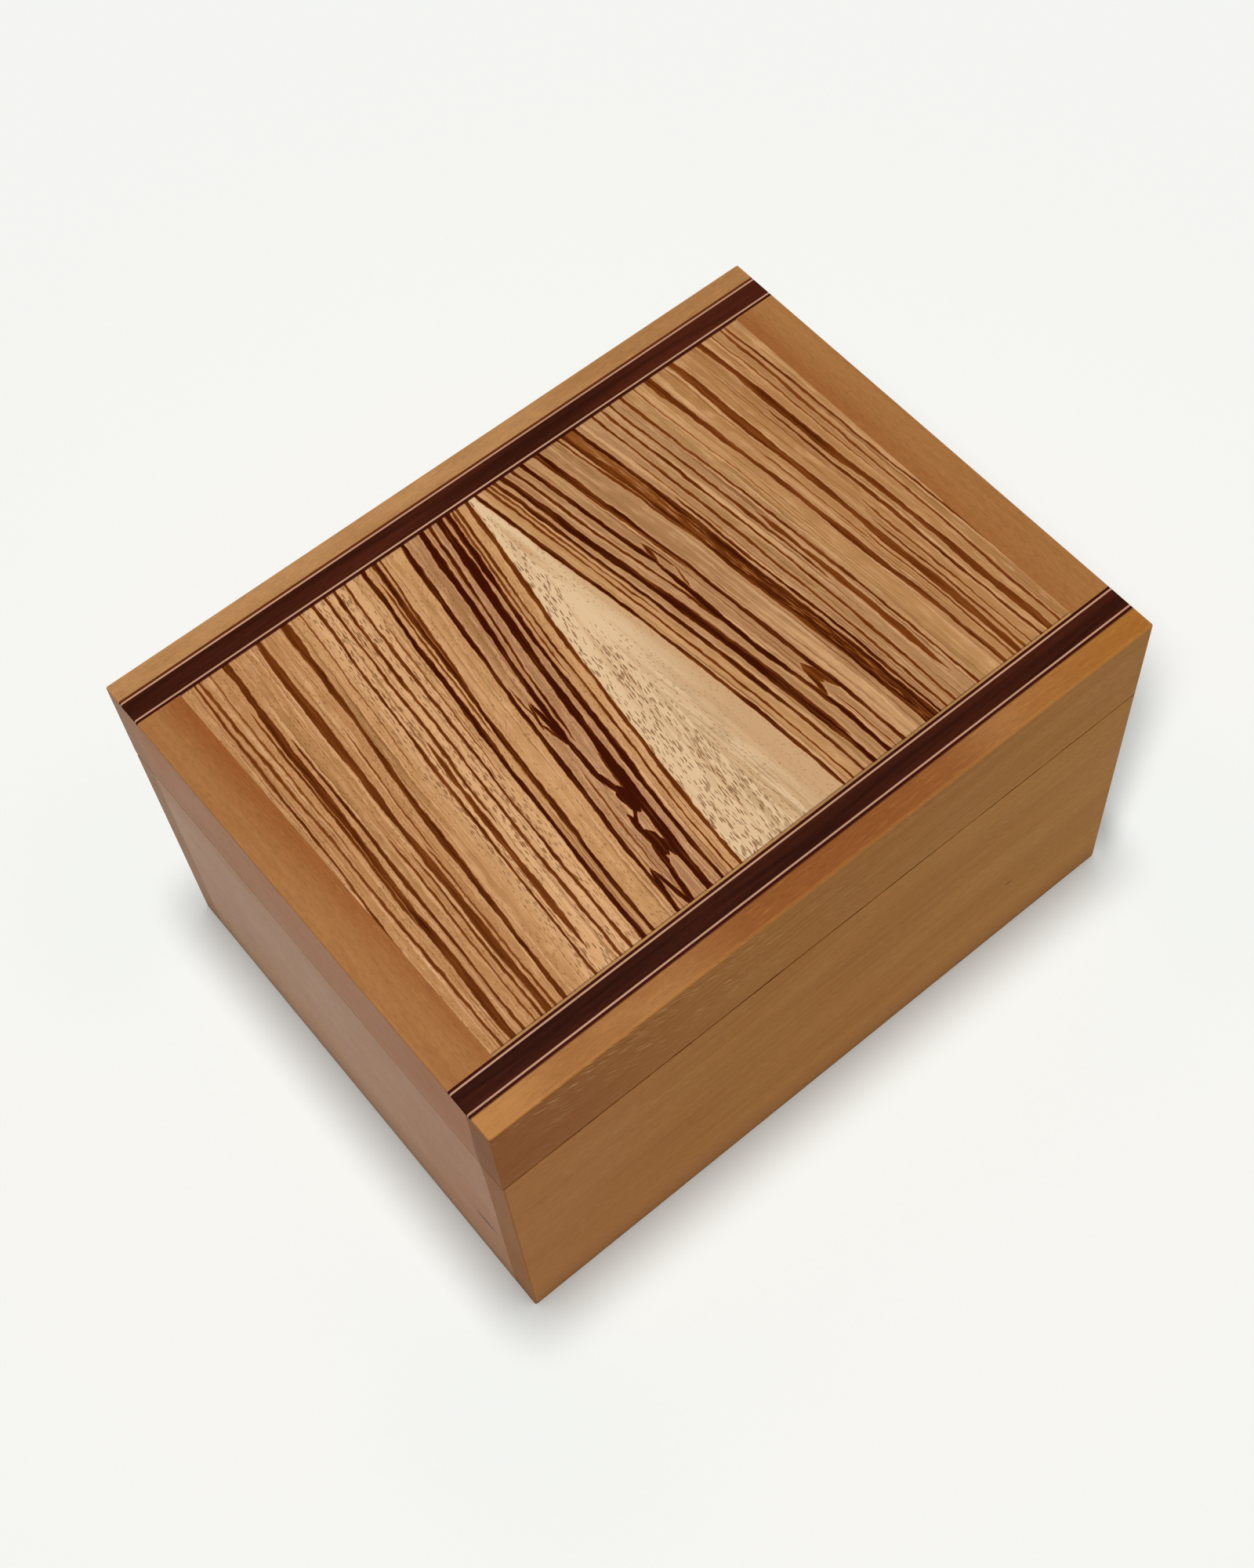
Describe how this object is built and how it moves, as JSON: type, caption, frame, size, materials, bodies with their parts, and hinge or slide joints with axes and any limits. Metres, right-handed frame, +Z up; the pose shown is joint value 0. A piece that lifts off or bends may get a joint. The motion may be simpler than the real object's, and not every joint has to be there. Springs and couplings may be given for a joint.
{
  "type": "wooden box",
  "caption": "Rectangular wooden keepsake box with a hinged lid; the lid is inlaid with book-matched zebrano, dark bands and fine light and dark lines.",
  "frame": {"origin": "middle of the foot, on the surface that the box stands on", "axes": "+X along the front to the right, +Y to the back, +Z up"},
  "size_m": [0.24, 0.182, 0.14],
  "materials": {
    "cherry": "satin varnish",
    "zebrano": "satin varnish",
    "rosewood": "satin varnish",
    "light_line": "satin varnish",
    "dark_line": "satin varnish",
    "tan_line": "satin varnish",
    "plywood": "sanded",
    "balancing_veneer": "satin varnish",
    "brass": "drawn, lightly polished",
    "felt": "wool felt"
  },
  "bodies": {
    "box_body": {"body_front_board": "cherry", "body_back_board": "cherry", "body_left_board": "cherry", "body_right_board": "cherry", "bottom_panel": "plywood", "base_lining": "felt", "left_hinge_body_leaf": "brass", "right_hinge_body_leaf": "brass", "left_hinge_pin": "brass", "right_hinge_pin": "brass", "body_hinge_screws": "brass"},
    "lid": {"lid_front_board": "cherry", "lid_back_board": "cherry", "lid_left_board": "cherry", "lid_right_board": "cherry", "lid_core_panel": "plywood", "lid_balancing_veneer": "balancing_veneer", "left_zebrano_leaf": "zebrano", "right_zebrano_leaf": "zebrano", "left_end_strip": "cherry", "right_end_strip": "cherry", "filler_line": "tan_line", "left_hinge_lid_leaf": "brass", "right_hinge_lid_leaf": "brass", "lid_hinge_screws": "brass", "front_outer_dark_line": "dark_line", "front_outer_light_line": "light_line", "front_band": "rosewood", "front_inner_light_line": "light_line", "front_inner_dark_line": "dark_line", "back_outer_dark_line": "dark_line", "back_outer_light_line": "light_line", "back_band": "rosewood", "back_inner_light_line": "light_line", "back_inner_dark_line": "dark_line"}
  },
  "joints": [
    {"name": "lid_hinge", "type": "hinge", "parent": "box_body", "child": "lid", "pos_m": [0, 0.0894, 0.103], "axis": [-1, 0, 0], "range_deg": [0, 95]}
  ]
}
